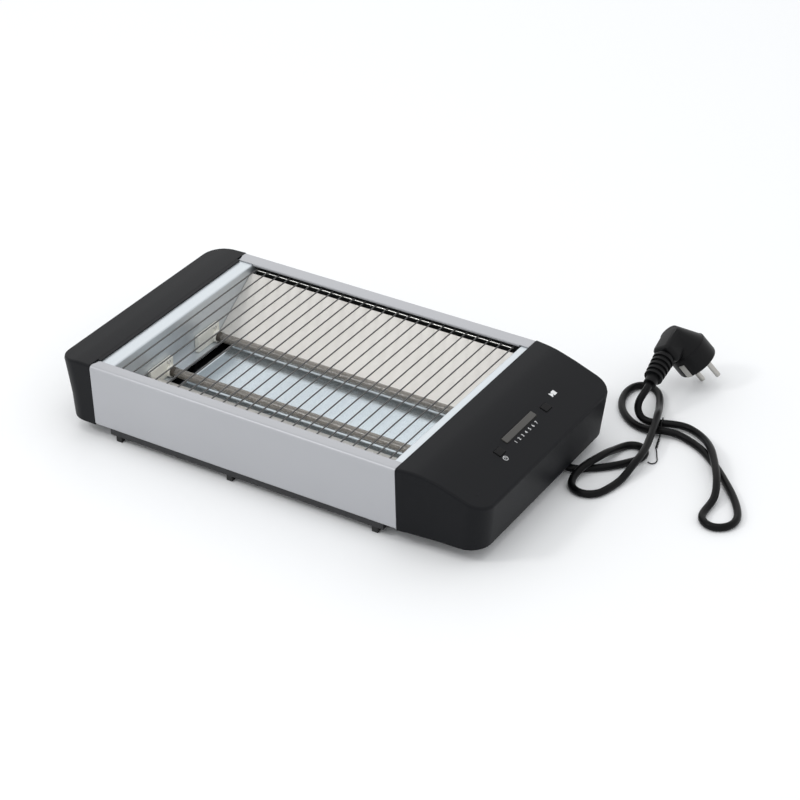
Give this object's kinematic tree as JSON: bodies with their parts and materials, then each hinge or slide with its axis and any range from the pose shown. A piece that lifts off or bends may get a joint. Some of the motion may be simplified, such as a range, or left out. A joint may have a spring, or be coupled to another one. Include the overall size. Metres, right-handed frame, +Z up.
{
  "type": "flat toaster",
  "caption": "Low flat toaster: bread lies on a wire grid over two quartz tube heaters, with a slide-out crumb tray, a black control end and a tied mains cord with an angled plug.",
  "frame": {"origin": "on the table under the middle of the body, measured without the cord and plug", "axes": "+X along the body towards the control housing, +Y towards the back where the crumb tray slides out, +Z up"},
  "size_m": [0.5671, 0.3712, 0.0739],
  "materials": {
    "grey_paint": "satin light grey paint",
    "galvanised": "bluish zinc-plated sheet",
    "reflector": "plain reflector sheet",
    "bright_steel": "bright",
    "black_plastic": "fine matte black",
    "black_paint": "black paint",
    "quartz": "frosted quartz glass",
    "coil": "dark heating wire",
    "ceramic": "unglazed white ceramic",
    "lens": "milky light bar",
    "board": "printed circuit board",
    "component": "moulded component case",
    "lead": "silicone-sheathed lead",
    "rubber_foot": "black rubber",
    "cord": "black flexible sheath",
    "pin_metal": "nickel-plated"
  },
  "bodies": {
    "housing": {"front_panel": "grey_paint", "rear_panel": "grey_paint", "left_end_frame": "galvanised", "right_end_frame": "galvanised", "base_plate": "black_paint", "grid_wires": "bright_steel", "front_wire_rail": "galvanised", "rear_wire_rail": "galvanised", "front_reflector": "reflector", "rear_reflector": "reflector", "left_tray_rail": "galvanised", "right_tray_rail": "galvanised", "front_heater_tube": "quartz", "rear_heater_tube": "quartz", "front_heating_coil": "coil", "rear_heating_coil": "coil", "left_end_cap": "black_plastic", "left_bottom_cover": "black_plastic", "control_housing": "black_plastic", "housing_bottom_cover": "black_plastic", "level_window": "lens", "level_lights": "lens", "control_board": "board", "timer_switch": "component", "start_switch": "component", "power_board": "board", "relay": "component", "terminal_block": "component", "thermal_fuse": "bright_steel", "heater_link_lead": "lead", "front_supply_lead": "lead", "rear_supply_lead": "lead", "cord_gland": "black_plastic", "cord": "cord", "cord_tie": "cord", "plug_relief": "cord", "plug_body": "cord", "plug_pins": "pin_metal", "earth_strip": "pin_metal", "heater_holder_front_left": "ceramic", "heater_terminal_front_left": "bright_steel", "heater_holder_front_right": "ceramic", "heater_terminal_front_right": "bright_steel", "foot_front_left": "rubber_foot", "foot_front_middle": "rubber_foot", "foot_front_right": "rubber_foot", "left_screw_front": "bright_steel", "housing_screw_front": "bright_steel", "heater_holder_rear_left": "ceramic", "heater_terminal_rear_left": "bright_steel", "heater_holder_rear_right": "ceramic", "heater_terminal_rear_right": "bright_steel", "foot_rear_left": "rubber_foot", "foot_rear_middle": "rubber_foot", "foot_rear_right": "rubber_foot", "left_screw_rear": "bright_steel", "housing_screw_rear": "bright_steel"},
    "crumb_tray_body": {"crumb_tray": "bright_steel"},
    "timer_button_body": {"timer_button": "black_plastic"},
    "start_button_body": {"start_button": "black_plastic"}
  },
  "joints": [
    {"name": "tray_slide", "type": "slide", "parent": "housing", "child": "crumb_tray_body", "axis": [0, 1, 0], "range_m": [0, 0.15]},
    {"name": "timer_press", "type": "slide", "parent": "housing", "child": "timer_button_body", "axis": [-0.3312, 0, -0.9436], "range_m": [0, 0.0008], "stiffness_N_per_m": 500},
    {"name": "start_press", "type": "slide", "parent": "housing", "child": "start_button_body", "axis": [-0.3312, 0, -0.9436], "range_m": [0, 0.0008], "stiffness_N_per_m": 500}
  ]
}
